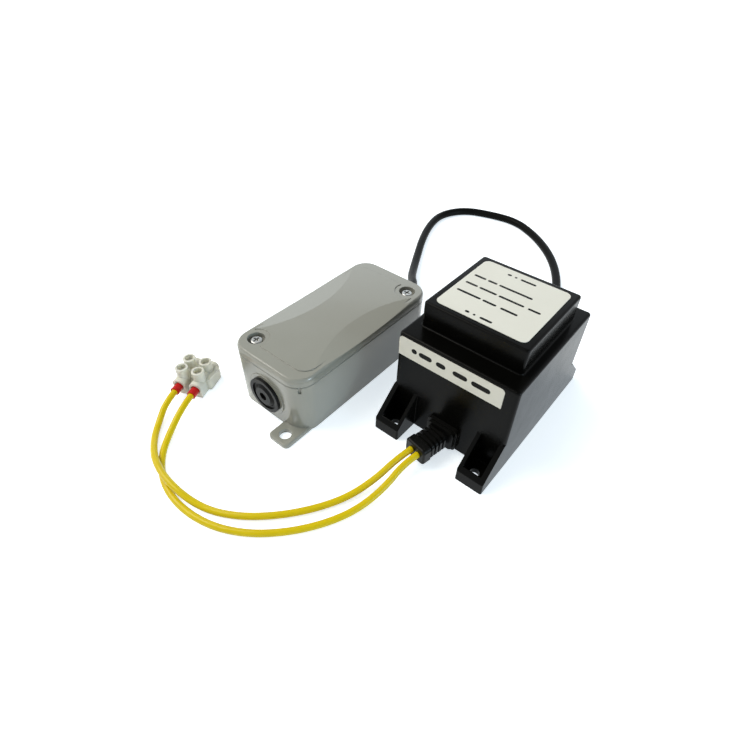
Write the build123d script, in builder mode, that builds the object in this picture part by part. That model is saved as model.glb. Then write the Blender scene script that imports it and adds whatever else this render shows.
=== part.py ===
from build123d import *
import os
from math import cos, pi, radians, sin, tan

# Low voltage transformer: a potted black case on four feet, a ribbed strain relief with two
# yellow leads and a screw connector at the front, and a mains cable from its back to a grey
# junction box. Millimetres, +Z up, the origin at the middle of the case's base.
# The front, with the yellow leads, looks along -Y.

# Transformer case
case_width = 60.0
case_depth = 71.0
case_height = 53.0
case_wall = 2.5
case_draft = 0.7
case_corner = 1.8
case_edge = 1.2
step_width = 50.6
step_depth = 51.0
step_height = 13.0
step_corner = 1.6
step_edge = 1.0
step_root = 0.6

# Feet, each a pocket between two ribs with a lip in front
foot_length = 14.2
foot_width = 13.2
foot_floor = 3.0
foot_lip_height = 6.4
foot_lip = 2.2
foot_gusset_height = 20.5
foot_outer_rib = 2.0
foot_inner_rib = 1.8
foot_hole = 4.5
foot_hole_side = 7.0
foot_hole_out = 7.5
foot_lip_round = 0.8

# Laminated core, bobbin and windings
core_length = 57.0
core_leg = 9.5
core_window = 28.5
core_stack = 30.0
bobbin_wall = 1.0
bobbin_flange = 1.2
bobbin_play = 0.2
winding_build = 7.4
tail_diameter = 2.0
tail_first = 1.8
tail_spacing = 2.4
coil_floor_gap = 3.0
fuse_diameter = 2.4
fuse_length = 9.0
resin_recess = 0.8

# Labels
label_thickness = 0.2
top_label_width = 44.0
top_label_depth = 44.6
top_label_corner = 3.0
front_label_width = 53.2
front_label_height = 10.6
front_label_corner = 1.8
front_label_left = 0.7
front_label_top = 1.7

# Strain reliefs
gland_height = 7.4
gland_flange_width = 16.6
gland_flange_height = 13.4
gland_flange = 2.0
gland_step = 1.5
gland_step_inset = 1.0
gland_neck_width = 8.6
gland_neck_height = 6.6
gland_rib_width = 11.6
gland_rib_height = 9.0
gland_rib = 1.3
gland_rib_pitch = 2.5
gland_rib_count = 4
gland_collar_width = 12.4
gland_collar_height = 9.6
gland_length = 17.3
gland_corner = 2.0
gland_lean = 10.6
gland_plug_width = 11.0
gland_plug_height = 8.0
gland_plug_play = 0.2

# Cords
lead_diameter = 3.2
lead_spacing = 4.1
cable_diameter = 5.6
lead_straight = 9.0
ferrule_straight = 8.0
cable_straight = 12.6
conductor_straight = 4.0
bend_share = 0.45

# Screw connectors, the one on the leads and the one in the box
connector_x = -122.0
connector_y = -88.2
connector_turn = 23.5
pole_pitch = 9.4
pole_width = 6.8
pole_length = 19.0
pole_bore_height = 5.0
pole_shoulder = 8.8
pole_round = 2.6
pole_foot_round = 0.6
tower_height = 13.6
tower_diameter = 6.6
tower_spacing = 7.6
tower_bore = 4.4
web_bottom = 0.8
web_top = 7.6
web_length = 11.0
web_shift = 2.0
web_hole = 3.0
web_stub = 1.8
web_corner = 1.2
tower_edge = 0.4
insert_diameter = 5.0
insert_bore = 3.4
insert_length = 14.6
insert_play = 0.1
clamp_screw_diameter = 2.6
clamp_screw_head = 3.9
clamp_screw_head_height = 2.4
clamp_screw_slot = 0.7
clamp_screw_slot_depth = 0.9
clamp_screw_sink = 2.4

# Ferrules on the leads
ferrule_collar_diameter = 4.7
ferrule_taper = 3.5
ferrule_collar_length = 6.2
ferrule_collar_depth = 2.0
ferrule_pin_diameter = 2.0
ferrule_pin_length = 9.0

# Junction box
box_x = -76.4
box_y = -27.3
box_width = 48.4
box_length = 101.4
box_corner = 10.0
box_draft = 0.3
box_wall = 2.5
box_floor = 2.5
base_height = 30.0
lid_height = 5.2
lid_top = 2.2
lid_edge = 2.4
lid_seam = 0.35
lid_panel_rise = 0.35
lid_panel_side = 3.0
lid_panel_end = 7.4
lid_panel_corner = 7.0
lid_panel_screw_gap = 6.9
pry_notch_width = 1.4
pry_notch_depth = 0.8
pry_notch_height = 3.6
lid_lip = 1.4
lid_lip_height = 2.5
lid_lip_play = 0.25
lid_bevel_radius = 72.0
lid_bevel_reach = 13.0
lid_bevel_drop = 1.4
gasket_width = 1.0
gasket_height = 1.0
lid_screw_x = 15.6
lid_screw_y = 40.4
lid_screw_diameter = 3.0
lid_screw_head = 6.0
lid_screw_head_height = 2.2
lid_screw_length = 18.0
lid_screw_recess = 0.9
lid_screw_cross = 3.6
lid_screw_play = 0.1
counterbore_diameter = 8.8
counterbore_depth = 3.4
screw_post = 8.4
lid_post_wall = 1.2
screw_hole_play = 0.4
tab_length = 11.3
tab_width = 13.0
tab_inset = 0.6
tab_thickness = 2.3
tab_corner = 2.6
tab_edge = 0.6
tab_hole = 6.1
tab_hole_out = 5.8
tab_hole_in = 6.7

# Grommets in the box's ends
grommet_height = 14.5
grommet_flange_diameter = 19.6
grommet_flange = 1.6
grommet_neck_diameter = 15.8
grommet_play = 0.1
grommet_inner_flange = 1.5
grommet_rim = 1.9
grommet_recess = 0.8
grommet_nose_base = 13.0
grommet_nose_diameter = 10.4
grommet_nose = 0.5
grommet_well_diameter = 4.6
grommet_well_depth = 1.7
grommet_lip = 1.0
entry_boss_diameter = 23.6
entry_boss_rise = 0.4

# Cable end and conductors inside the box
tail_length = 9.0
conductor_diameter = 2.4
conductor_spacing = 2.6
conductor_depth = 2.0
box_connector_y = 8.0
floor_rib = 1.5
floor_rib_height = 1.2
floor_rib_play = 0.3

# What follows from the sizes above
case_half_width = case_width / 2
case_half_depth = case_depth / 2
cavity_width = case_width - 2 * case_wall
cavity_depth = case_depth - 2 * case_wall
step_cavity_width = step_width - 2 * case_wall
step_cavity_depth = step_depth - 2 * case_wall
case_top = case_height + step_height
foot_hole_x = case_half_width - foot_hole_side
foot_hole_y = case_half_depth + foot_hole_out
core_depth = 2 * core_leg + core_window
coil_height = core_stack + 2 * (bobbin_play + bobbin_wall + winding_build)
core_bottom = coil_floor_gap + (coil_height - core_stack) / 2
core_middle = core_bottom + core_stack / 2
box_top = base_height + lid_height
box_half_length = box_length / 2
box_half_width = box_width / 2
box_inner_width = box_width - 2 * box_wall
box_inner_length = box_length - 2 * box_wall
box_inner_corner = box_corner - box_wall
box_plane = Plane(origin=(box_x, box_y, 0))
box_rim = box_plane.offset(base_height)
lid_screw_spots = [(-lid_screw_x, -lid_screw_y), (lid_screw_x, lid_screw_y)]
pole_spots = (-pole_pitch / 2, pole_pitch / 2)
tower_spots = (-tower_spacing / 2, tower_spacing / 2)

os.makedirs("parts", exist_ok=True)


def save(piece, name):
    """Labels a finished piece and writes its STEP file."""
    piece.label = name
    export_step(piece, f"parts/{name}.step")


def leaning(base, out, lean):
    """A plane a step out from base, its normal turned towards base's -X by lean degrees."""
    turn = radians(lean)
    normal = base.z_dir * cos(turn) - base.x_dir * sin(turn)
    across = base.x_dir * cos(turn) + base.z_dir * sin(turn)
    return Plane(origin=base.offset(out).origin, x_dir=across, z_dir=normal)


# Transformer case: body, stepped top and four feet in one moulding, open below
def transformer_case():
    with BuildPart() as case:
        # One foot at +X, -Y: side profile, then its pocket and hole
        rib_start = case_half_width - foot_width
        with BuildSketch(Plane.YZ.offset(rib_start)):
            with BuildLine():
                Polyline(
                    (-case_half_depth + case_wall, 0),
                    (-case_half_depth - foot_length, 0),
                    (-case_half_depth - foot_length, foot_lip_height),
                    (-case_half_depth, foot_gusset_height),
                    (-case_half_depth + case_wall, foot_gusset_height),
                    close=True,
                )
            make_face()
        extrude(amount=foot_width + case_draft)
        with BuildSketch(Plane.YZ.offset(rib_start + foot_inner_rib)):
            with Locations((-case_half_depth - foot_length + foot_lip, foot_floor)):
                Rectangle(foot_length - foot_lip, foot_gusset_height, align=(Align.MIN, Align.MIN))
        extrude(amount=foot_width - foot_inner_rib - foot_outer_rib, mode=Mode.SUBTRACT)
        with Locations((foot_hole_x, -foot_hole_y, foot_floor)):
            Hole(foot_hole / 2)
        # The sides lean in with the mould's draft
        with BuildSketch(Plane.XZ):
            with BuildLine():
                Polyline(
                    (-case_half_width - case_draft, 0),
                    (case_half_width + case_draft, 0),
                    (case_half_width, case_height),
                    (-case_half_width, case_height),
                    close=True,
                )
            make_face()
        extrude(amount=case_depth, both=True, mode=Mode.INTERSECT)
        lip_edges = case.faces().sort_by(Axis.Y)[0].edges()
        fillet(lip_edges.filter_by(lambda e: e.bounding_box().size.Z > foot_lip_height / 2), foot_lip_round)
        mirror(about=Plane.YZ)
        mirror(about=Plane.XZ)

        # Body and step
        with BuildSketch():
            RectangleRounded(case_width + 2 * case_draft, case_depth, case_corner)
        with BuildSketch(Plane.XY.offset(case_height)):
            RectangleRounded(case_width, case_depth, case_corner)
        loft()
        fillet(case.faces().sort_by(Axis.Z)[-1].edges(), case_edge)
        with BuildSketch(Plane.XY.offset(case_height)):
            RectangleRounded(step_width, step_depth, step_corner)
        extrude(amount=step_height)
        fillet(case.faces().sort_by(Axis.Z)[-1].edges(), step_edge)
        root_edges = case.edges().filter_by_position(Axis.Z, case_height, case_height)
        reach = step_width / 2 + step_root
        fillet(
            root_edges.filter_by_position(Axis.X, -reach, reach).filter_by(
                lambda e: abs(e.center().Y) < step_depth / 2 + step_root
            ),
            step_root,
        )

        # Inside, up to the walls
        with BuildSketch():
            Rectangle(cavity_width, cavity_depth)
        extrude(amount=case_height - case_wall, mode=Mode.SUBTRACT)
        with BuildSketch(Plane.XY.offset(case_height - case_wall)):
            Rectangle(step_cavity_width, step_cavity_depth)
        extrude(amount=step_height, mode=Mode.SUBTRACT)

        # A window for each strain relief, front and back
        with BuildSketch(Plane.XZ.offset(-case_depth)):
            with Locations((0, gland_height)):
                Rectangle(gland_plug_width, gland_plug_height)
        extrude(amount=2 * case_depth, mode=Mode.SUBTRACT)
    return case.part


save(transformer_case(), "transformer_case")


# Core: an E stack and an I stack of laminations, legs along X
core_back = -core_depth / 2
core_plane = Plane.XY.offset(core_bottom)
with BuildPart() as core_e_stack:
    with BuildSketch(core_plane):
        with Locations((core_back, 0)):
            Rectangle(core_leg + core_window, core_length, align=(Align.MIN, Align.CENTER))
        with Locations((core_back + core_leg, 1.5 * core_leg), (core_back + core_leg, -1.5 * core_leg)):
            Rectangle(core_window, core_leg, align=(Align.MIN, Align.CENTER), mode=Mode.SUBTRACT)
    extrude(amount=core_stack)
save(core_e_stack.part, "core_e_stack")

with BuildPart() as core_i_stack:
    with BuildSketch(core_plane):
        with Locations((core_back + core_leg + core_window, 0)):
            Rectangle(core_leg, core_length, align=(Align.MIN, Align.CENTER))
    extrude(amount=core_stack)
save(core_i_stack.part, "core_i_stack")

# Bobbin: a square tube round the middle leg with three flanges
bobbin_length = core_window - 2 * bobbin_play
bobbin_start = core_back + core_leg + bobbin_play
tube_inner = (2 * core_leg + 2 * bobbin_play, core_stack + 2 * bobbin_play)
tube_outer = (tube_inner[0] + 2 * bobbin_wall, tube_inner[1] + 2 * bobbin_wall)
flange_size = (4 * core_leg - 2 * bobbin_play, coil_height)
chamber = (bobbin_length - 3 * bobbin_flange) / 2


def coil_plane(distance):
    """A plane across the middle leg, distance from the bobbin's first end."""
    return Plane(origin=(bobbin_start + distance, 0, core_middle), x_dir=(0, 1, 0), z_dir=(1, 0, 0))


with BuildPart() as coil_bobbin:
    with BuildSketch(coil_plane(0)):
        Rectangle(*tube_outer)
    extrude(amount=bobbin_length)
    for number in range(3):
        with BuildSketch(coil_plane(number * (bobbin_flange + chamber))):
            Rectangle(*flange_size)
        extrude(amount=bobbin_flange)
    with BuildSketch(coil_plane(0)):
        Rectangle(*tube_inner)
    extrude(amount=bobbin_length, mode=Mode.SUBTRACT)
save(coil_bobbin.part, "coil_bobbin")


def winding(number):
    """The turns in one chamber of the bobbin, as one solid."""
    build_y = (flange_size[0] - tube_outer[0]) / 2 - bobbin_play
    with BuildPart() as turns:
        with BuildSketch(coil_plane(bobbin_flange + number * (bobbin_flange + chamber))):
            RectangleRounded(tube_outer[0] + 2 * build_y, coil_height - 2 * bobbin_play, build_y / 2)
            Rectangle(*tube_outer, mode=Mode.SUBTRACT)
        extrude(amount=chamber)
    return turns.part


primary_winding = winding(0)
secondary_winding = winding(1)
save(primary_winding, "primary_winding")
save(secondary_winding, "secondary_winding")


def winding_tails(end):
    """Two bare ends from a winding's side to the strain relief at the front, -1, or the back, 1."""
    winding_side = flange_size[0] / 2 - bobbin_play
    wall_side = case_half_depth - case_wall
    with BuildPart() as tails:
        with BuildSketch(Plane.XZ.offset(-end * winding_side)):
            for x in (tail_first, tail_first + tail_spacing):
                with Locations((-end * x, gland_height)):
                    Circle(tail_diameter / 2)
        extrude(amount=-end * (wall_side - winding_side))
    return tails.part


primary_tails = winding_tails(1)
secondary_tails = winding_tails(-1)
save(primary_tails, "primary_tails")
save(secondary_tails, "secondary_tails")

# Thermal fuse, on top of the primary winding
fuse_height = core_middle + coil_height / 2 - bobbin_play + fuse_diameter / 2
fuse_x = bobbin_start + bobbin_flange + chamber / 2
with BuildPart() as thermal_fuse:
    with BuildSketch(Plane(origin=(fuse_x, 0, fuse_height), x_dir=(1, 0, 0), z_dir=(0, 1, 0))):
        Circle(fuse_diameter / 2)
    extrude(amount=fuse_length / 2, both=True)
save(thermal_fuse.part, "thermal_fuse")

# Potting resin: all of the inside that the core, coil and fuse leave
with BuildPart() as potting_resin:
    with BuildSketch(Plane.XY.offset(resin_recess)):
        Rectangle(cavity_width, cavity_depth)
    extrude(amount=case_height - case_wall - resin_recess)
    with BuildSketch(Plane.XY.offset(case_height - case_wall)):
        Rectangle(step_cavity_width, step_cavity_depth)
    extrude(amount=step_height)
    for inner in (core_e_stack, core_i_stack, coil_bobbin, thermal_fuse):
        add(inner.part, mode=Mode.SUBTRACT)
    for inner in (primary_winding, secondary_winding, primary_tails, secondary_tails):
        add(inner, mode=Mode.SUBTRACT)
save(potting_resin.part, "potting_resin")


# Labels, on the step and across the front
with BuildPart() as top_label:
    with BuildSketch(Plane.XY.offset(case_top)):
        RectangleRounded(top_label_width, top_label_depth, top_label_corner)
    extrude(amount=label_thickness)
save(top_label.part, "top_label")

label_x = -case_half_width + front_label_left + front_label_width / 2
label_z = case_height - front_label_top - front_label_height / 2
with BuildPart() as front_label:
    with BuildSketch(Plane.XZ.offset(case_half_depth)) as outline:
        with Locations((label_x, label_z)):
            Rectangle(front_label_width, front_label_height)
        fillet(outline.vertices().group_by(Axis.Y)[-1], front_label_corner)
    extrude(amount=label_thickness)
save(front_label.part, "front_label")


# Strain reliefs: a plug in the case's window, a flange, a ribbed neck and a collar
def strain_relief(wall, lean):
    along = leaning(wall, gland_flange, lean)
    rib_start = gland_step + gland_rib_pitch - gland_rib
    collar_start = gland_step + gland_rib_count * gland_rib_pitch + gland_rib_pitch - gland_rib
    with BuildPart() as gland:
        with BuildSketch(wall.offset(-case_wall)):
            Rectangle(gland_plug_width - gland_plug_play, gland_plug_height - gland_plug_play)
        extrude(amount=case_wall + gland_flange / 2)
        with BuildSketch(wall):
            RectangleRounded(gland_flange_width, gland_flange_height, gland_corner)
        extrude(amount=gland_flange)
        with BuildSketch(wall.offset(gland_flange)):
            RectangleRounded(
                gland_flange_width - 2 * gland_step_inset,
                gland_flange_height - 2 * gland_step_inset,
                gland_corner,
            )
        extrude(amount=gland_step)
        with BuildSketch(along):
            RectangleRounded(gland_neck_width, gland_neck_height, gland_corner)
        extrude(amount=gland_length - gland_rib)
        for number in range(gland_rib_count):
            with BuildSketch(along.offset(rib_start + number * gland_rib_pitch)):
                RectangleRounded(gland_rib_width, gland_rib_height, gland_corner)
            extrude(amount=gland_rib)
        with BuildSketch(along.offset(collar_start)):
            RectangleRounded(gland_collar_width, gland_collar_height, gland_corner)
        extrude(amount=gland_length - collar_start)
        end = gland.faces().sort_by_distance(along.offset(gland_length).origin)[0]
        fillet(end.edges(), gland_corner / 2)
    return gland.part


front_wall = Plane(origin=(0, -case_half_depth, gland_height), x_dir=(1, 0, 0), z_dir=(0, -1, 0))
back_wall = Plane(origin=(0, case_half_depth, gland_height), x_dir=(-1, 0, 0), z_dir=(0, 1, 0))
output_end = leaning(front_wall, gland_flange, gland_lean).offset(gland_length)
input_end = leaning(back_wall, gland_flange, 0).offset(gland_length)
save(strain_relief(front_wall, gland_lean), "output_strain_relief")
save(strain_relief(back_wall, 0), "input_strain_relief")


# Screw connectors: poles with two towers each, joined by a web
def bore_plane(base, x, y):
    """A plane across a pole's bore, at x and y of the connector, facing along its wires."""
    spot = base.from_local_coords(Vector(x, y, pole_bore_height))
    return Plane(origin=spot, x_dir=base.x_dir, z_dir=base.y_dir)


def connector_body(base):
    with BuildPart() as body:
        for x in pole_spots:
            with BuildSketch(bore_plane(base, x, -pole_length / 2)) as section:
                with Locations((0, pole_bore_height)):
                    Rectangle(pole_width, pole_shoulder, align=(Align.CENTER, Align.MAX))
                fillet(section.vertices().group_by(Axis.Y)[0], pole_round)
                fillet(section.vertices().group_by(Axis.Y)[-1], pole_foot_round)
            extrude(amount=pole_length)
            for y in tower_spots:
                with BuildSketch(base.offset(pole_shoulder / 2)):
                    with Locations((x, y)):
                        Circle(tower_diameter / 2)
                extrude(amount=tower_height - pole_shoulder / 2)
        fillet(body.faces().group_by(Axis.Z)[-1].edges(), tower_edge)
        with BuildSketch(base.offset(web_bottom)):
            with Locations((0, web_shift)):
                RectangleRounded(pole_pitch + pole_width + 2 * web_stub, web_length, web_corner)
        extrude(amount=web_top - web_bottom)
        with BuildSketch(base):
            Circle(web_hole / 2)
        extrude(amount=tower_height, mode=Mode.SUBTRACT)
        for x in pole_spots:
            with BuildSketch(bore_plane(base, x, -pole_length)):
                Circle(insert_diameter / 2 + insert_play)
            extrude(amount=2 * pole_length, mode=Mode.SUBTRACT)
            for y in tower_spots:
                with BuildSketch(base.offset(pole_bore_height)):
                    with Locations((x, y)):
                        Circle(tower_bore / 2)
                extrude(amount=tower_height, mode=Mode.SUBTRACT)
    return body.part


def connector_inserts(base):
    with BuildPart() as inserts:
        for x in pole_spots:
            with BuildSketch(bore_plane(base, x, -insert_length / 2)):
                Circle(insert_diameter / 2)
                Circle(insert_bore / 2, mode=Mode.SUBTRACT)
            extrude(amount=insert_length)
            for y in tower_spots:
                with BuildSketch(base.offset(pole_bore_height)):
                    with Locations((x, y)):
                        Circle(clamp_screw_diameter / 2 + insert_play)
                extrude(amount=insert_diameter, mode=Mode.SUBTRACT)
    return inserts.part


def connector_screws(base, tip_height):
    head_top = tower_height - clamp_screw_sink
    with BuildPart() as screws:
        for x in pole_spots:
            for y in tower_spots:
                with BuildSketch(base.offset(tip_height)):
                    with Locations((x, y)):
                        Circle(clamp_screw_diameter / 2)
                extrude(amount=head_top - tip_height)
                with BuildSketch(base.offset(head_top)):
                    with Locations((x, y)):
                        Circle(clamp_screw_head / 2)
                extrude(amount=-clamp_screw_head_height)
                with BuildSketch(base.offset(head_top)):
                    with Locations((x, y)):
                        Rectangle(clamp_screw_head * 2, clamp_screw_slot)
                extrude(amount=-clamp_screw_slot_depth, mode=Mode.SUBTRACT)
    return screws.part


lead_connector = Plane(origin=(connector_x, connector_y, 0)).rotated((0, 0, connector_turn))
save(connector_body(lead_connector), "lead_connector_body")
save(connector_inserts(lead_connector), "lead_connector_inserts")
save(connector_screws(lead_connector, pole_bore_height + ferrule_pin_diameter / 2), "lead_connector_screws")

# Ferrules: a red collar and a tinned pin on each lead
collar_start = -pole_length / 2 + ferrule_collar_depth - ferrule_collar_length
pin_start = -pole_length / 2 + ferrule_collar_depth
with BuildPart() as ferrule_collars:
    for x in pole_spots:
        with BuildSketch(bore_plane(lead_connector, x, collar_start)):
            Circle(ferrule_collar_diameter / 2)
        extrude(amount=ferrule_collar_length, taper=ferrule_taper)
save(ferrule_collars.part, "ferrule_collars")

with BuildPart() as ferrule_pins:
    for x in pole_spots:
        with BuildSketch(bore_plane(lead_connector, x, pin_start)):
            Circle(ferrule_pin_diameter / 2)
        extrude(amount=ferrule_pin_length)
save(ferrule_pins.part, "ferrule_pins")


# Cords: straight runs joined by arcs as large as the runs allow
def cord(points, diameter, name):
    points = [Vector(*point) for point in points]
    runs = [b - a for a, b in zip(points, points[1:])]
    radii = []
    for before, after in zip(runs, runs[1:]):
        turn = radians(before.get_angle(after))
        radii.append(bend_share * min(before.length, after.length) / tan(turn / 2))
    with BuildPart() as tube:
        with BuildLine() as route:
            FilletPolyline(*points, radius=radii)
        line = route.wires()[0]
        with BuildSketch(Plane(origin=line @ 0, z_dir=line % 0)):
            Circle(diameter / 2)
        sweep(path=line)
    share = tube.part.volume / (line.length * pi * diameter**2 / 4)
    print(name, "length", round(line.length, 1), "volume share", round(share, 4))
    print("  radii", [round(radius, 1) for radius in radii])
    save(tube.part, name)


def at_output(x):
    """The middle of a lead on the strain relief's end face, and a point straight out from it."""
    exit_point = output_end.from_local_coords(Vector(x, 0, 0))
    return [tuple(exit_point), tuple(exit_point + output_end.z_dir * lead_straight)]


def at_ferrule(x):
    """A point straight out from a ferrule, then the middle of its end face."""
    end = bore_plane(lead_connector, x, collar_start)
    return [tuple(end.origin - end.z_dir * ferrule_straight), tuple(end.origin)]


left_lead_route = [
    *at_output(-lead_spacing / 2),
    (-8.6, -75.5, 4.2),
    (-12.8, -89.5, 1.6),
    (-19.7, -103.0, 1.6),
    (-29.6, -116.0, 1.6),
    (-42.0, -127.2, 1.6),
    (-56.5, -134.4, 1.6),
    (-73.0, -137.2, 5.6),
    (-90.0, -134.4, 5.6),
    (-104.5, -126.6, 1.6),
    (-113.0, -117.6, 1.9),
    *at_ferrule(-pole_pitch / 2),
]
right_lead_route = [
    *at_output(lead_spacing / 2),
    (-2.7, -76.5, 4.2),
    (-5.6, -91.5, 1.6),
    (-11.6, -105.5, 1.6),
    (-20.8, -118.5, 1.6),
    (-32.8, -129.8, 1.6),
    (-47.5, -137.4, 1.6),
    (-64.5, -140.2, 1.6),
    (-80.5, -137.6, 1.6),
    (-93.0, -130.2, 1.6),
    (-101.8, -119.8, 1.9),
    *at_ferrule(pole_pitch / 2),
]
cord(left_lead_route, lead_diameter, "left_yellow_lead")
cord(right_lead_route, lead_diameter, "right_yellow_lead")


# Junction box base: drafted tub with lugs, screw posts and an entry in each end
def inset_outline(width, length, corner, inset, mode=Mode.ADD):
    """A rounded rectangle drawn in from the given outline by inset."""
    RectangleRounded(width - 2 * inset, length - 2 * inset, corner - inset, mode=mode)


def end_plane(end, out):
    """A plane facing out of the box's end, -1 front or 1 back, out from the end of the lid."""
    spot = (box_x, box_y + end * (box_half_length + out), grommet_height)
    return Plane(origin=spot, x_dir=(-end, 0, 0), z_dir=(0, end, 0))


def box_base():
    with BuildPart() as base:
        with BuildSketch(box_plane):
            inset_outline(box_width, box_length, box_corner, box_draft)
        with BuildSketch(box_rim):
            RectangleRounded(box_width, box_length, box_corner)
        loft()
        chamfer(base.faces().sort_by(Axis.Z)[-1].edges(), lid_seam)
        # A flat boss round each entry
        for end in (-1, 1):
            with BuildSketch(end_plane(end, -box_wall)):
                Circle(entry_boss_diameter / 2)
            extrude(amount=box_wall + entry_boss_rise)
        # A lug beyond each end, on opposite sides
        for end in (-1, 1):
            lug_x = -end * (box_half_width - box_draft - tab_inset - tab_width / 2)
            lug_y = end * (box_half_length - box_draft)
            with BuildSketch(box_plane) as lug:
                with Locations((lug_x, lug_y)):
                    Rectangle(tab_width, 2 * tab_length)
                fillet(lug.vertices().sort_by(Axis.Y, reverse=end > 0)[:2], tab_corner)
            extrude(amount=tab_thickness)
        lug_edges = base.edges().filter_by_position(Axis.Z, tab_thickness, tab_thickness)
        chamfer(lug_edges.filter_by(lambda e: abs(e.center().Y - box_y) > box_half_length), tab_edge)
        # The inside, with a post for each lid screw
        with BuildSketch(box_plane.offset(box_floor)):
            inset_outline(box_inner_width, box_inner_length, box_inner_corner, box_draft)
        with BuildSketch(box_rim):
            RectangleRounded(box_inner_width, box_inner_length, box_inner_corner)
        loft(mode=Mode.SUBTRACT)
        with BuildSketch(box_plane):
            with Locations(*lid_screw_spots):
                Circle(screw_post / 2)
        extrude(amount=base_height)
        with BuildSketch(box_rim):
            with Locations(*lid_screw_spots):
                Circle(lid_screw_diameter / 2 + lid_screw_play)
        extrude(amount=-lid_screw_length, mode=Mode.SUBTRACT)
        # A notch for a screwdriver under the lid's front right corner
        corner_in = box_corner * (1 - cos(radians(45)))
        notch_spot = box_rim.from_local_coords(
            Vector(box_half_width - corner_in, -box_half_length + corner_in, 0)
        )
        with BuildSketch(Plane(origin=notch_spot, x_dir=(1, 1, 0), z_dir=(0, 0, 1))):
            Rectangle(pry_notch_width, 2 * pry_notch_depth)
        extrude(amount=-pry_notch_height, mode=Mode.SUBTRACT)
        # Two low ribs that the box's connector stands between
        with BuildSketch(box_plane.offset(box_floor)):
            rib_out = pole_length / 2 + floor_rib_play + floor_rib / 2
            with Locations((0, box_connector_y - rib_out), (0, box_connector_y + rib_out)):
                Rectangle(pole_pitch + pole_width, floor_rib)
        extrude(amount=floor_rib_height)
        # The entries and the lug holes
        for end in (-1, 1):
            with BuildSketch(end_plane(end, -2 * box_wall)):
                Circle(grommet_neck_diameter / 2 + grommet_play)
            extrude(amount=4 * box_wall, mode=Mode.SUBTRACT)
            hole_x = -end * (box_half_width - box_draft - tab_hole_in)
            hole_y = end * (box_half_length - box_draft + tab_hole_out)
            with BuildSketch(box_plane):
                with Locations((hole_x, hole_y)):
                    Circle(tab_hole / 2)
            extrude(amount=tab_thickness, mode=Mode.SUBTRACT)
    return base.part


save(box_base(), "box_base")


# Lid: rounded shell with a lip into the base, a seal groove and two sunk screws
lip_inset = lid_lip_play + lid_lip
seal_inset = (box_wall - gasket_width) / 2


def seal_ring():
    """The seal's outline along the middle of the box's wall."""
    with BuildSketch(box_rim) as ring:
        inset_outline(box_width, box_length, box_corner, seal_inset)
        inset_outline(box_width, box_length, box_corner, seal_inset + gasket_width, Mode.SUBTRACT)
    return ring.sketch


def box_lid():
    with BuildPart() as lid:
        with BuildSketch(box_rim):
            RectangleRounded(box_width, box_length, box_corner)
        extrude(amount=lid_height)
        chamfer(lid.faces().sort_by(Axis.Z)[0].edges(), lid_seam)
        fillet(lid.faces().sort_by(Axis.Z)[-1].edges(), lid_edge)
        # A slightly raised panel that passes round the screws
        with BuildSketch(box_plane.offset(box_top)):
            RectangleRounded(box_width, box_length, box_corner)
            RectangleRounded(
                box_width - 2 * lid_panel_side,
                box_length - 2 * lid_panel_end,
                lid_panel_corner,
                mode=Mode.SUBTRACT,
            )
            with Locations(*lid_screw_spots):
                Circle(lid_panel_screw_gap)
        extrude(amount=-lid_panel_rise, mode=Mode.SUBTRACT)
        # A shallow bevel with an arched edge along each side
        for side in (-1, 1):
            inner_x = box_half_width - lid_bevel_reach
            outer_x = box_half_width + lid_edge
            outer_drop = lid_bevel_drop * (outer_x - inner_x) / lid_bevel_reach
            with BuildSketch(Plane(origin=(box_x, box_y, box_top), x_dir=(side, 0, 0), z_dir=(0, -side, 0))):
                with BuildLine():
                    Polyline(
                        (inner_x, 0),
                        (outer_x, -outer_drop),
                        (outer_x, lid_edge),
                        (inner_x, lid_edge),
                        close=True,
                    )
                make_face()
            axis_x = box_x + side * (inner_x + lid_bevel_radius)
            revolve(axis=Axis((axis_x, box_y, 0), (0, 0, 1)), mode=Mode.SUBTRACT)
        # The inside, the posts round the screws and the lip
        with BuildSketch(box_rim):
            inset_outline(box_inner_width, box_inner_length, box_inner_corner, lip_inset)
            with Locations(*lid_screw_spots):
                Circle(counterbore_diameter / 2 + lid_post_wall, mode=Mode.SUBTRACT)
        extrude(amount=lid_height - lid_top, mode=Mode.SUBTRACT)
        with BuildSketch(box_rim):
            inset_outline(box_inner_width, box_inner_length, box_inner_corner, lid_lip_play)
            inset_outline(box_inner_width, box_inner_length, box_inner_corner, lip_inset, Mode.SUBTRACT)
            with Locations(*lid_screw_spots):
                Circle(screw_post / 2 + lid_lip_play, mode=Mode.SUBTRACT)
        extrude(amount=-lid_lip_height)
        extrude(seal_ring(), amount=gasket_height, mode=Mode.SUBTRACT)
        with Locations(*[(box_x + x, box_y + y, box_top) for x, y in lid_screw_spots]):
            CounterBoreHole(
                lid_screw_diameter / 2 + screw_hole_play,
                counterbore_diameter / 2,
                counterbore_depth,
                lid_height,
            )
    return lid.part


save(box_lid(), "box_lid")

with BuildPart() as lid_gasket:
    extrude(seal_ring(), amount=gasket_height)
save(lid_gasket.part, "lid_gasket")

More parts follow.
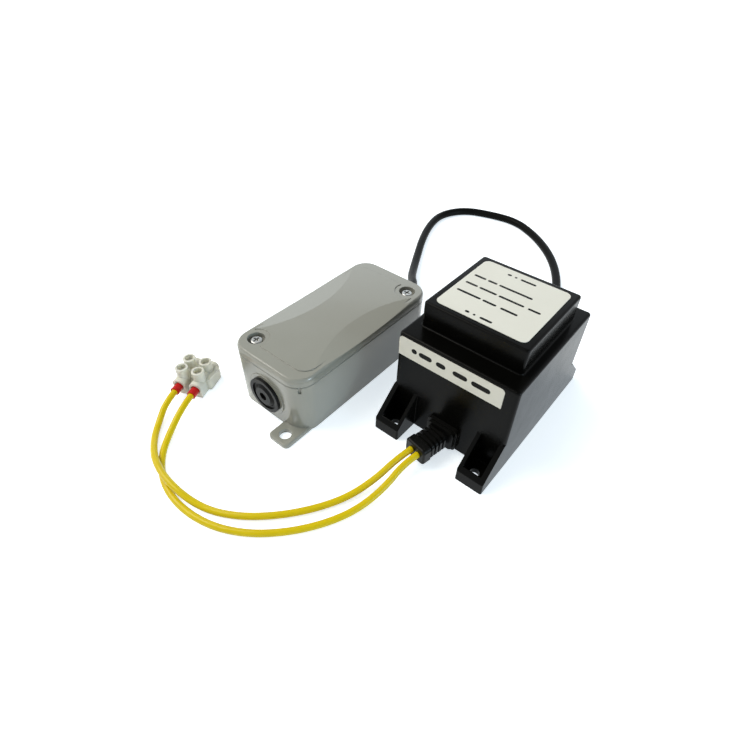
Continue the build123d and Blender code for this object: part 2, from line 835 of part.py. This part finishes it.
# Lid screws: pan heads with a cross recess
with BuildPart() as lid_screws:
    seat = box_plane.offset(box_top - counterbore_depth)
    with BuildSketch(seat):
        with Locations(*lid_screw_spots):
            Circle(lid_screw_diameter / 2)
    extrude(amount=-lid_screw_length)
    with BuildSketch(seat):
        with Locations(*lid_screw_spots):
            Circle(lid_screw_head / 2)
    extrude(amount=lid_screw_head_height)
    fillet(lid_screws.faces().group_by(Axis.Z)[-1].edges(), lid_screw_head_height / 3)
    with BuildSketch(seat.offset(lid_screw_head_height)):
        with Locations(*lid_screw_spots):
            Rectangle(lid_screw_cross, lid_screw_recess)
            Rectangle(lid_screw_recess, lid_screw_cross)
    extrude(amount=-lid_screw_head_height / 2, mode=Mode.SUBTRACT)
save(lid_screws.part, "lid_screws")


# Grommets: rubber plugs in the box's ends, with a rim, a recessed ring and a nose
def grommet(end, nose_section):
    across = end_plane(end, entry_boss_rise)
    neck_radius = grommet_neck_diameter / 2
    flange_radius = grommet_flange_diameter / 2
    neck_end = -entry_boss_rise - box_wall - box_draft - grommet_play
    with BuildPart() as plug:
        with BuildSketch(Plane(origin=across.origin, x_dir=across.x_dir, z_dir=-across.y_dir)):
            with BuildLine():
                Polyline(
                    (0, neck_end - grommet_inner_flange),
                    (neck_radius + grommet_lip, neck_end - grommet_inner_flange),
                    (neck_radius + grommet_lip, neck_end),
                    (neck_radius, neck_end),
                    (neck_radius, 0),
                    (flange_radius, 0),
                    (flange_radius, grommet_flange),
                    (flange_radius - grommet_rim, grommet_flange),
                    (flange_radius - grommet_rim, grommet_flange - grommet_recess),
                    (grommet_nose_base / 2, grommet_flange - grommet_recess),
                    (grommet_nose_diameter / 2, grommet_flange + grommet_nose),
                    *nose_section,
                    close=True,
                )
            make_face()
        revolve(axis=Axis(across.origin, across.z_dir))
    return plug.part


nose_end = grommet_flange + grommet_nose
open_nose = [
    (grommet_well_diameter / 2, nose_end),
    (grommet_well_diameter / 2, nose_end - grommet_well_depth),
    (0, nose_end - grommet_well_depth),
]
save(grommet(-1, open_nose), "front_grommet")
save(grommet(1, [(0, nose_end)]), "rear_grommet")

# Mains cable, from the box's back round to the transformer's back
cable_exit = end_plane(1, entry_boss_rise + nose_end)
mains_cable_route = [
    tuple(cable_exit.origin),
    tuple(cable_exit.origin + cable_exit.z_dir * cable_straight),
    (-80.6, 48.8, 12.6),
    (-91.0, 61.0, 7.4),
    (-100.3, 76.8, 3.8),
    (-108.0, 91.2, 2.8),
    (-119.3, 113.0, 2.8),
    (-128.5, 136.0, 2.8),
    (-132.0, 157.0, 2.8),
    (-122.0, 176.0, 2.8),
    (-103.0, 184.0, 2.8),
    (-81.0, 188.0, 2.8),
    (-60.5, 178.5, 2.8),
    (-42.0, 164.0, 2.8),
    (-27.5, 147.0, 2.8),
    (-16.0, 127.0, 2.8),
    (-7.2, 105.0, 2.8),
    (-1.8, 85.0, 4.8),
    tuple(input_end.origin + input_end.z_dir * cable_straight),
    tuple(input_end.origin),
]
cord(mains_cable_route, cable_diameter, "mains_cable")

# Cable end inside the box and its two conductors to the connector on the floor
tail_plane = end_plane(1, -box_wall - box_draft - grommet_play - grommet_inner_flange)
with BuildPart() as cable_tail:
    with BuildSketch(tail_plane):
        Circle(cable_diameter / 2)
    extrude(amount=-tail_length)
save(cable_tail.part, "cable_tail")

box_connector = Plane(origin=(box_x, box_y + box_connector_y, box_floor))


def conductor(side, name):
    start = tail_plane.offset(-tail_length).from_local_coords(Vector(-side * conductor_spacing / 2, 0, 0))
    mouth = bore_plane(box_connector, side * pole_pitch / 2, pole_length / 2).origin
    route = [
        tuple(start),
        tuple(start + Vector(0, -conductor_straight, 0)),
        tuple(mouth + Vector(0, conductor_straight, 0)),
        tuple(mouth + Vector(0, -conductor_depth, 0)),
    ]
    cord(route, conductor_diameter, name)


conductor(-1, "brown_conductor")
conductor(1, "blue_conductor")
save(connector_body(box_connector), "box_connector_body")
save(connector_inserts(box_connector), "box_connector_inserts")
save(connector_screws(box_connector, pole_bore_height), "box_connector_screws")
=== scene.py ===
import math

import bmesh
import bpy
from mathutils import Matrix, Vector


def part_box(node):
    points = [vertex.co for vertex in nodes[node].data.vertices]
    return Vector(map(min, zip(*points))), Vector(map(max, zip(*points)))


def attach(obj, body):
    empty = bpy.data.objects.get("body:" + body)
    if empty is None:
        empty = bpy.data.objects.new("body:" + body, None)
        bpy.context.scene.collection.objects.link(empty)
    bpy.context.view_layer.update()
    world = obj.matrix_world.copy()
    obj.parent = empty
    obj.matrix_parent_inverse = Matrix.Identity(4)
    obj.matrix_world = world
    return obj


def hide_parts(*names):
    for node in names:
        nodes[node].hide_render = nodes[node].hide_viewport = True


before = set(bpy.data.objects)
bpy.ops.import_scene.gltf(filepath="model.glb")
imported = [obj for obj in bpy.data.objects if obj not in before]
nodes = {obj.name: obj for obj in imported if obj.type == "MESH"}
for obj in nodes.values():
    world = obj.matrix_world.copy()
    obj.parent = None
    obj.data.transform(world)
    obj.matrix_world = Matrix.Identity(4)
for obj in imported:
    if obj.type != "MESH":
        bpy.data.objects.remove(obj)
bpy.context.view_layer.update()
MM = 0.001

# Camera at the photograph's view: place and clip in metres, roll in degrees, lens and sensor in millimetres
CAMERA_PLACE = Vector((0.0707, -0.1792, 0.1950))
CAMERA_DIRECTION = Vector((-0.4454, 0.5636, -0.6957))
CAMERA_ROLL = 1.94
CAMERA_LENS = 24.29
CAMERA_SENSOR = 36.0
CAMERA_CLIP = 0.01

# Cord sizes and routes, the same points as the solids, in millimetres
LEAD_DIAMETER = 3.2
CABLE_DIAMETER = 5.6
LEFT_LEAD_ROUTE = [
    (-5.1973, -54.1277, 7.4),
    (-6.8529, -62.9742, 7.4),
    (-8.6, -75.5, 4.2),
    (-12.8, -89.5, 1.6),
    (-19.7, -103.0, 1.6),
    (-29.6, -116.0, 1.6),
    (-42.0, -127.2, 1.6),
    (-56.5, -134.4, 1.6),
    (-73.0, -137.2, 5.6),
    (-90.0, -134.4, 5.6),
    (-104.5, -126.6, 1.6),
    (-113.0, -117.6, 1.9),
    (-117.6573, -109.9743, 5.0),
    (-120.8473, -102.6378, 5.0),
]
RIGHT_LEAD_ROUTE = [
    (-1.1673, -54.8819, 7.4),
    (-2.8229, -63.7284, 7.4),
    (-2.7, -76.5, 4.2),
    (-5.6, -91.5, 1.6),
    (-11.6, -105.5, 1.6),
    (-20.8, -118.5, 1.6),
    (-32.8, -129.8, 1.6),
    (-47.5, -137.4, 1.6),
    (-64.5, -140.2, 1.6),
    (-80.5, -137.6, 1.6),
    (-93.0, -130.2, 1.6),
    (-101.8, -119.8, 1.9),
    (-109.0369, -106.2261, 5.0),
    (-112.2269, -98.8896, 5.0),
]
MAINS_CABLE_ROUTE = [
    (-76.4, 25.9, 14.5),
    (-76.4, 38.5, 14.5),
    (-80.6, 48.8, 12.6),
    (-91.0, 61.0, 7.4),
    (-100.3, 76.8, 3.8),
    (-108.0, 91.2, 2.8),
    (-119.3, 113.0, 2.8),
    (-128.5, 136.0, 2.8),
    (-132.0, 157.0, 2.8),
    (-122.0, 176.0, 2.8),
    (-103.0, 184.0, 2.8),
    (-81.0, 188.0, 2.8),
    (-60.5, 178.5, 2.8),
    (-42.0, 164.0, 2.8),
    (-27.5, 147.0, 2.8),
    (-16.0, 127.0, 2.8),
    (-7.2, 105.0, 2.8),
    (-1.8, 85.0, 4.8),
    (0.0, 67.4, 7.4),
    (0.0, 54.8, 7.4),
]

# How finely a cord is rounded
CORD_SIDE_STEPS = 8
CORD_RUN_STEPS = 14
CORD_ORDER = 3

# Noise of the finishes: scales in repeats per metre, and where the change between two tones starts and ends
TONE_SCALE = 60.0
GLOSS_SCALE = 120.0
PATCH_SCALE = 700.0
PATCH_DETAIL = 4.0
MARK_SCALE = 1500.0
METAL_GRAIN = 2500.0
GRAIN_DETAIL = 2.0
NOISE_ROUGHNESS = 0.55
WIDE_SPREAD = (0.2, 0.8)
NARROW_SPREAD = (0.3, 0.7)

# Relief of the finishes: strengths, with depths and the edges' radius in metres
MOULDED_DEPTH = 0.0001
METAL_RELIEF = 0.15
METAL_DEPTH = 0.00005
TURN_RELIEF = 0.4
TURN_DEPTH = 0.0002
EDGE_RADIUS = 0.0006

# Core sheets and windings: how close their lines lie, and their gloss
SHEET_SCALE = 320.0
SHEET_ROUGHNESS = 0.45
TURN_SCALE = 400.0
TURN_ROUGHNESS = 0.3
TURN_METALLIC = 0.9


# Materials
def new_material(name):
    """A new material, with its node tree and its shader."""
    made = bpy.data.materials.new(name)
    made.use_nodes = True
    return made, made.node_tree, made.node_tree.nodes["Principled BSDF"]


def object_noise(tree, scale, detail=3.0):
    """Noise in the object's own space, scale in repeats per metre."""
    place = tree.nodes.new("ShaderNodeTexCoord")
    noise = tree.nodes.new("ShaderNodeTexNoise")
    noise.inputs["Scale"].default_value = scale
    noise.inputs["Detail"].default_value = detail
    noise.inputs["Roughness"].default_value = NOISE_ROUGHNESS
    tree.links.new(place.outputs["Object"], noise.inputs["Vector"])
    return noise.outputs["Fac"]


def object_lines(tree, direction, scale):
    """Fine even lines across one direction of the object's own space."""
    place = tree.nodes.new("ShaderNodeTexCoord")
    lines = tree.nodes.new("ShaderNodeTexWave")
    lines.bands_direction = direction
    lines.inputs["Scale"].default_value = scale
    tree.links.new(place.outputs["Object"], lines.inputs["Vector"])
    return lines.outputs["Fac"]


def ramp(tree, source, low, high, spread=NARROW_SPREAD):
    """Two colours or greys, with the change between them spread over source."""
    stops = tree.nodes.new("ShaderNodeValToRGB")
    for stop, position, colour in zip(stops.color_ramp.elements, spread, (low, high)):
        stop.position = position
        stop.color = (*colour, 1.0)
    tree.links.new(source, stops.inputs["Fac"])
    return stops.outputs["Color"]


def uneven_gloss(tree, shader, scale, rough, spread=NARROW_SPREAD):
    """Roughness that wanders between two values."""
    low, high = rough
    gloss = ramp(tree, object_noise(tree, scale), (low, low, low), (high, high, high), spread)
    tree.links.new(gloss, shader.inputs["Roughness"])


def bump(tree, shader, source, strength, depth):
    """Raises the surface by source, depth in metres."""
    relief = tree.nodes.new("ShaderNodeBump")
    relief.inputs["Strength"].default_value = strength
    relief.inputs["Distance"].default_value = depth
    tree.links.new(source, relief.inputs["Height"])
    tree.links.new(relief.outputs["Normal"], shader.inputs["Normal"])


def moulded(name, dark, light, rough, grain, strength, specular=0.5):
    """A moulded plastic: slight colour change, uneven gloss and a fine grain."""
    made, tree, shader = new_material(name)
    tone = ramp(tree, object_noise(tree, TONE_SCALE), dark, light, WIDE_SPREAD)
    tree.links.new(tone, shader.inputs["Base Color"])
    uneven_gloss(tree, shader, GLOSS_SCALE, rough, WIDE_SPREAD)
    bump(tree, shader, object_noise(tree, grain, GRAIN_DETAIL), strength, MOULDED_DEPTH)
    shader.inputs["Specular IOR Level"].default_value = specular
    return made


def soft_edges(made, radius):
    """Makes the edges under a finish look rounded over by radius, in metres."""
    tree = made.node_tree
    relief = next(node for node in tree.nodes if node.type == "BUMP")
    edge = tree.nodes.new("ShaderNodeBevel")
    edge.inputs["Radius"].default_value = radius
    tree.links.new(edge.outputs["Normal"], relief.inputs["Normal"])


def coat(made, weight, rough):
    """Puts a finish under a clear, smoother skin."""
    shader = made.node_tree.nodes["Principled BSDF"]
    shader.inputs["Coat Weight"].default_value = weight
    shader.inputs["Coat Roughness"].default_value = rough


def make_milky(made, scatter, radius, clear):
    """Lets light scatter inside a finish, by a radius in metres, and some of it pass through."""
    shader = made.node_tree.nodes["Principled BSDF"]
    shader.inputs["Subsurface Weight"].default_value = scatter
    shader.inputs["Subsurface Radius"].default_value = radius
    shader.inputs["Subsurface Scale"].default_value = 1.0
    shader.inputs["Transmission Weight"].default_value = clear


def metal(name, dark, light, rough):
    """A worn metal: patches of two tones and fine marks."""
    made, tree, shader = new_material(name)
    tone = ramp(tree, object_noise(tree, PATCH_SCALE, PATCH_DETAIL), dark, light)
    tree.links.new(tone, shader.inputs["Base Color"])
    uneven_gloss(tree, shader, MARK_SCALE, rough)
    bump(tree, shader, object_noise(tree, METAL_GRAIN, GRAIN_DETAIL), METAL_RELIEF, METAL_DEPTH)
    shader.inputs["Metallic"].default_value = 1.0
    return made


def stacked_steel(name, dark, light):
    """Laminations: fine level lines up the stack."""
    made, tree, shader = new_material(name)
    tone = ramp(tree, object_lines(tree, "Z", SHEET_SCALE), dark, light)
    tree.links.new(tone, shader.inputs["Base Color"])
    shader.inputs["Metallic"].default_value = 1.0
    shader.inputs["Roughness"].default_value = SHEET_ROUGHNESS
    return made


def copper_turns_with_painted_shade(name, dark, light):
    """Enamelled wire: close turns round the bobbin, darker in the grooves between turns as painted shade.
    """
    made, tree, shader = new_material(name)
    turns = object_lines(tree, "X", TURN_SCALE)
    tree.links.new(ramp(tree, turns, dark, light), shader.inputs["Base Color"])
    bump(tree, shader, turns, TURN_RELIEF, TURN_DEPTH)
    shader.inputs["Metallic"].default_value = TURN_METALLIC
    shader.inputs["Roughness"].default_value = TURN_ROUGHNESS
    return made


CASE_BLACK = moulded(
    "case_black",
    dark=(0.0014, 0.0014, 0.0011),
    light=(0.0024, 0.0024, 0.0019),
    rough=(0.19, 0.25),
    grain=1400.0,
    strength=0.10,
    specular=0.08,
)
RELIEF_BLACK = moulded(
    "relief_black",
    dark=(0.003, 0.003, 0.0028),
    light=(0.005, 0.005, 0.0046),
    rough=(0.26, 0.36),
    grain=1800.0,
    strength=0.15,
    specular=0.14,
)
CABLE_BLACK = moulded(
    "cable_black",
    dark=(0.003, 0.0031, 0.0028),
    light=(0.005, 0.0052, 0.0046),
    rough=(0.34, 0.44),
    grain=1500.0,
    strength=0.2,
    specular=0.05,
)
GROMMET_BLACK = moulded(
    "grommet_black",
    dark=(0.005, 0.005, 0.005),
    light=(0.009, 0.009, 0.009),
    rough=(0.30, 0.44),
    grain=1500.0,
    strength=0.2,
    specular=0.12,
)
RESIN = moulded(
    "resin",
    dark=(0.030, 0.026, 0.022),
    light=(0.050, 0.043, 0.036),
    rough=(0.15, 0.35),
    grain=200.0,
    strength=0.2,
)
BOX_GREY = moulded(
    "box_grey",
    dark=(0.280, 0.282, 0.242),
    light=(0.292, 0.294, 0.254),
    rough=(0.20, 0.26),
    grain=2200.0,
    strength=0.02,
)
LABEL_WHITE = moulded(
    "label_white",
    dark=(0.74, 0.735, 0.655),
    light=(0.78, 0.775, 0.695),
    rough=(0.38, 0.50),
    grain=3000.0,
    strength=0.04,
)
PRINT_BLACK = moulded(
    "print_black",
    dark=(0.006, 0.006, 0.006),
    light=(0.010, 0.010, 0.010),
    rough=(0.4, 0.5),
    grain=3000.0,
    strength=0.04,
    specular=0.1,
)
LEAD_YELLOW = moulded(
    "lead_yellow",
    dark=(0.68, 0.51, 0.002),
    light=(0.74, 0.57, 0.003),
    rough=(0.20, 0.28),
    grain=1500.0,
    strength=0.08,
    specular=0.25,
)
FERRULE_RED = moulded(
    "ferrule_red",
    dark=(0.50, 0.006, 0.006),
    light=(0.58, 0.010, 0.009),
    rough=(0.24, 0.34),
    grain=1800.0,
    strength=0.1,
    specular=0.3,
)
BOBBIN = moulded(
    "bobbin",
    dark=(0.62, 0.60, 0.55),
    light=(0.70, 0.68, 0.62),
    rough=(0.4, 0.5),
    grain=1800.0,
    strength=0.1,
)
CORE_BROWN = moulded(
    "core_brown",
    dark=(0.16, 0.06, 0.025),
    light=(0.21, 0.085, 0.035),
    rough=(0.35, 0.45),
    grain=1800.0,
    strength=0.1,
)
CORE_BLUE = moulded(
    "core_blue",
    dark=(0.02, 0.10, 0.40),
    light=(0.03, 0.13, 0.48),
    rough=(0.35, 0.45),
    grain=1800.0,
    strength=0.1,
)
CONNECTOR_WHITE = moulded(
    "connector_white",
    dark=(0.79, 0.78, 0.67),
    light=(0.85, 0.84, 0.73),
    rough=(0.16, 0.26),
    grain=1800.0,
    strength=0.1,
)
coat(BOX_GREY, weight=0.35, rough=0.08)
soft_edges(CASE_BLACK, EDGE_RADIUS)
soft_edges(BOX_GREY, EDGE_RADIUS)
make_milky(CONNECTOR_WHITE, scatter=0.5, radius=(0.0022, 0.0022, 0.0020), clear=0.15)
# Screw zinc darkened to stand for zinc in shade: painted shade; the clamp screws below keep the lighter
# zinc
SHADED_SCREW_ZINC = metal("screw_zinc", dark=(0.40, 0.40, 0.39), light=(0.55, 0.55, 0.53), rough=(0.24, 0.40))
CLAMP_SCREW = metal(
    "clamp_screw_zinc",
    dark=(0.66, 0.66, 0.62),
    light=(0.78, 0.78, 0.74),
    rough=(0.36, 0.48),
)
TIN = metal("tin", dark=(0.60, 0.60, 0.61), light=(0.72, 0.72, 0.73), rough=(0.25, 0.4))
BRASS = metal("insert_brass", dark=(0.55, 0.40, 0.15), light=(0.68, 0.52, 0.22), rough=(0.22, 0.36))
FUSE = metal("fuse_metal", dark=(0.55, 0.55, 0.57), light=(0.68, 0.68, 0.70), rough=(0.2, 0.3))
CORE_STEEL = stacked_steel("core_steel", dark=(0.10, 0.10, 0.11), light=(0.42, 0.42, 0.44))
# Copper windings: the darker tone in the grooves between turns is painted shade
COPPER = copper_turns_with_painted_shade("copper_wire", dark=(0.30, 0.11, 0.05), light=(0.72, 0.34, 0.17))

NODE_MATERIALS = {
    "transformer_case": CASE_BLACK,
    "potting_resin": RESIN,
    "core_e_stack": CORE_STEEL,
    "core_i_stack": CORE_STEEL,
    "coil_bobbin": BOBBIN,
    "primary_winding": COPPER,
    "secondary_winding": COPPER,
    "thermal_fuse": FUSE,
    "primary_tails": COPPER,
    "secondary_tails": COPPER,
    "top_label": LABEL_WHITE,
    "front_label": LABEL_WHITE,
    "output_strain_relief": RELIEF_BLACK,
    "input_strain_relief": RELIEF_BLACK,
    "ferrule_collars": FERRULE_RED,
    "ferrule_pins": TIN,
    "lead_connector_body": CONNECTOR_WHITE,
    "lead_connector_inserts": BRASS,
    "lead_connector_screws": CLAMP_SCREW,
    "box_base": BOX_GREY,
    "box_lid": BOX_GREY,
    "lid_gasket": GROMMET_BLACK,
    "lid_screws": SHADED_SCREW_ZINC,
    "front_grommet": GROMMET_BLACK,
    "rear_grommet": GROMMET_BLACK,
    "cable_tail": CABLE_BLACK,
    "brown_conductor": CORE_BROWN,
    "blue_conductor": CORE_BLUE,
    "box_connector_body": CONNECTOR_WHITE,
    "box_connector_inserts": BRASS,
    "box_connector_screws": CLAMP_SCREW,
}
for node_name, finish in NODE_MATERIALS.items():
    nodes[node_name].data.materials.clear()
    nodes[node_name].data.materials.append(finish)


# Cords
def make_cord(name, node, route, diameter, finish):
    """A smooth cord along its route that stands for the cord's solid."""
    curve = bpy.data.curves.new(name, "CURVE")
    curve.dimensions = "3D"
    curve.bevel_depth = diameter / 2 * MM
    curve.bevel_resolution = CORD_SIDE_STEPS
    curve.resolution_u = CORD_RUN_STEPS
    spline = curve.splines.new("NURBS")
    spline.points.add(len(route) - 1)
    for point, place in zip(spline.points, route):
        point.co = (*[value * MM for value in place], 1.0)
    spline.order_u = CORD_ORDER
    spline.use_endpoint_u = True
    cord = bpy.data.objects.new(name, curve)
    bpy.context.scene.collection.objects.link(cord)
    cord.data.materials.append(finish)
    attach(cord, "root")
    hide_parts(node)


make_cord(
    "left_lead",
    "left_yellow_lead",
    LEFT_LEAD_ROUTE,
    LEAD_DIAMETER,
    LEAD_YELLOW,
)
make_cord(
    "right_lead",
    "right_yellow_lead",
    RIGHT_LEAD_ROUTE,
    LEAD_DIAMETER,
    LEAD_YELLOW,
)
make_cord(
    "cable",
    "mains_cable",
    MAINS_CABLE_ROUTE,
    CABLE_DIAMETER,
    CABLE_BLACK,
)

# Label print, in millimetres: the place of each row on its label, with the starts and ends of its bars
TOP_LABEL_ROWS = {
    17.7: [(-8.1, -6.1), (-4.4, -3.2), (-1.4, 6.4)],
    7.1: [(-19.6, -13.4), (-12.4, -7.6), (-6.6, 10.0)],
    -0.4: [(-19.7, -13.4), (-12.4, -3.6), (-2.6, 9.8), (11.6, 17.6)],
    -7.9: [(-19.6, -7.4), (-6.4, 0.4), (2.4, 10.6)],
    -19.4: [(-8.1, -6.0), (-4.2, -3.0), (-0.9, 5.0)],
}
FRONT_LABEL_ROWS = {46.2: [(-22.4, -19.4), (-18.4, -11.4), (-9.2, -4.2), (-0.6, 6.8), (8.7, 18.0)]}
TOP_LABEL_BAR_HEIGHT = 1.3
FRONT_LABEL_BAR_HEIGHT = 2.6
PRINT_THICKNESS = 0.04
BAR_CORNER_STEPS = 5


def bar_outline(start, end, middle, height):
    """Points round a bar with rounded ends, in the label's plane."""
    radius = height / 2
    points = []
    for centre, turn in ((end - radius, -math.pi / 2), (start + radius, math.pi / 2)):
        for step in range(BAR_CORNER_STEPS + 1):
            angle = turn + math.pi * step / BAR_CORNER_STEPS
            points.append((centre + radius * math.cos(angle), middle + radius * math.sin(angle)))
    return points


def add_bar(mesh, outline, on_label):
    """One closed bar over its outline."""
    top = [mesh.verts.new(Vector(on_label(u, v, PRINT_THICKNESS)) * MM) for u, v in outline]
    foot = [mesh.verts.new(Vector(on_label(u, v, 0.0)) * MM) for u, v in outline]
    mesh.faces.new(top)
    mesh.faces.new(foot[::-1])
    for index, corner in enumerate(top):
        after = (index + 1) % len(top)
        mesh.faces.new((corner, foot[index], foot[after], top[after]))


def make_print(name, rows, height, on_label):
    """Thin printed bars on a label; on_label turns a point of its plane and a rise into a place."""
    mesh = bmesh.new()
    for middle, bars in rows.items():
        for start, end in bars:
            add_bar(mesh, bar_outline(start, end, middle, min(height, end - start)), on_label)
    data = bpy.data.meshes.new(name)
    mesh.to_mesh(data)
    mesh.free()
    piece = bpy.data.objects.new(name, data)
    bpy.context.scene.collection.objects.link(piece)
    piece.data.materials.append(PRINT_BLACK)
    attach(piece, "root")


top_of_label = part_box("top_label")[1][2] / MM
front_of_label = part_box("front_label")[0][1] / MM
make_print(
    "top_label_print",
    TOP_LABEL_ROWS,
    TOP_LABEL_BAR_HEIGHT,
    lambda u, v, rise: (u, v, top_of_label + rise),
)
make_print(
    "front_label_print",
    FRONT_LABEL_ROWS,
    FRONT_LABEL_BAR_HEIGHT,
    lambda u, v, rise: (u, front_of_label - rise, v),
)

# Floor and background: size in metres, and strengths at which 1 is seen as white
FLOOR_SIZE = 6.0
FLOOR_COLOUR = (0.90, 0.90, 0.90, 1.0)
FLOOR_ROUGHNESS = 0.9
FLOOR_GLOW = 0.68
FLOOR_GLOW_COLOUR = (0.86, 0.94, 1.0, 1.0)
SKY_COLOUR = (0.92, 0.965, 1.0, 1.0)
SKY_LIGHT = 0.40
SKY_LOW_DOWN = 1.0
SKY_OVERHEAD = 0.25
SKY_FADE_START = 0.50
SKY_FADE_END = 0.85


def seen_strength(tree, unseen, seen):
    """One strength for light on the object, and another for what the camera sees, mirrored or not."""
    rays = tree.nodes.new("ShaderNodeLightPath")
    view = rays.outputs["Is Camera Ray"]
    for mirrored in ("Is Glossy Ray", "Is Transmission Ray"):
        both = tree.nodes.new("ShaderNodeMath")
        both.operation = "MAXIMUM"
        tree.links.new(view, both.inputs[0])
        tree.links.new(rays.outputs[mirrored], both.inputs[1])
        view = both.outputs[0]
    strength = tree.nodes.new("ShaderNodeMapRange")
    strength.inputs["To Min"].default_value = unseen
    strength.inputs["To Max"].default_value = seen
    tree.links.new(view, strength.inputs["Value"])
    return strength


def make_floor():
    """A white floor that the camera sees as plain white where no shadow falls."""
    bpy.ops.mesh.primitive_plane_add(size=FLOOR_SIZE, location=(0, 0, 0))
    floor = bpy.context.object
    floor.name = "floor"
    made, tree, shader = new_material("floor_white")
    shader.inputs["Base Color"].default_value = FLOOR_COLOUR
    shader.inputs["Roughness"].default_value = FLOOR_ROUGHNESS
    shader.inputs["Specular IOR Level"].default_value = 0.0
    shader.inputs["Emission Color"].default_value = FLOOR_GLOW_COLOUR
    glow = seen_strength(tree, 0.0, FLOOR_GLOW)
    tree.links.new(glow.outputs["Result"], shader.inputs["Emission Strength"])
    floor.data.materials.append(made)


def make_world():
    """Even light from all round; what is seen of it is white low down and dimmer overhead."""
    world = bpy.data.worlds.new("studio")
    bpy.context.scene.world = world
    world.use_nodes = True
    tree = world.node_tree
    sky = tree.nodes["Background"]
    sky.inputs["Color"].default_value = SKY_COLOUR
    place = tree.nodes.new("ShaderNodeTexCoord")
    split = tree.nodes.new("ShaderNodeSeparateXYZ")
    tree.links.new(place.outputs["Generated"], split.inputs["Vector"])
    fade = tree.nodes.new("ShaderNodeMapRange")
    fade.inputs["From Min"].default_value = SKY_FADE_START
    fade.inputs["From Max"].default_value = SKY_FADE_END
    fade.inputs["To Min"].default_value = SKY_LOW_DOWN
    fade.inputs["To Max"].default_value = SKY_OVERHEAD
    tree.links.new(split.outputs["Z"], fade.inputs["Value"])
    strength = seen_strength(tree, SKY_LIGHT, SKY_LOW_DOWN)
    tree.links.new(fade.outputs["Result"], strength.inputs["To Max"])
    tree.links.new(strength.outputs["Result"], sky.inputs["Strength"])


make_floor()
make_world()


# Light: places and sizes in metres, powers in watts
def area_light(name, place, target, size, power, colour):
    """A rectangular lamp at place that faces target."""
    lamp = bpy.data.lights.new(name, "AREA")
    lamp.shape = "RECTANGLE"
    lamp.size, lamp.size_y = size
    lamp.energy = power
    lamp.color = colour
    holder = bpy.data.objects.new(name, lamp)
    holder.location = place
    holder.rotation_euler = (Vector(target) - Vector(place)).to_track_quat("-Z", "Y").to_euler()
    bpy.context.scene.collection.objects.link(holder)


area_light(
    "key",
    place=(-0.86, -0.40, 1.14),
    target=(-0.05, 0.0, 0.0),
    size=(1.0, 1.0),
    power=16.2,
    colour=(1.0, 0.955, 0.87),
)
area_light(
    "window",
    place=(1.15, 0.06, 0.30),
    target=(-0.02, -0.02, 0.02),
    size=(0.4, 0.4),
    power=5.5,
    colour=(0.64, 0.85, 1.0),
)
area_light(
    "back",
    place=(-0.83, 1.10, 0.60),
    target=(-0.07, 0.0, 0.03),
    size=(1.4, 0.7),
    power=2.6,
    colour=(0.80, 0.91, 1.0),
)

# Camera
lens = bpy.data.cameras.new("camera")
lens.lens = CAMERA_LENS
lens.sensor_width = CAMERA_SENSOR
lens.clip_start = CAMERA_CLIP
camera = bpy.data.objects.new("camera", lens)
facing = CAMERA_DIRECTION.to_track_quat("-Z", "Y").to_matrix()
facing = facing @ Matrix.Rotation(math.radians(CAMERA_ROLL), 3, "Z")
camera.matrix_world = Matrix.Translation(CAMERA_PLACE) @ facing.to_4x4()
bpy.context.scene.collection.objects.link(camera)
bpy.context.scene.camera = camera
bpy.context.scene.view_settings.view_transform = "Standard"
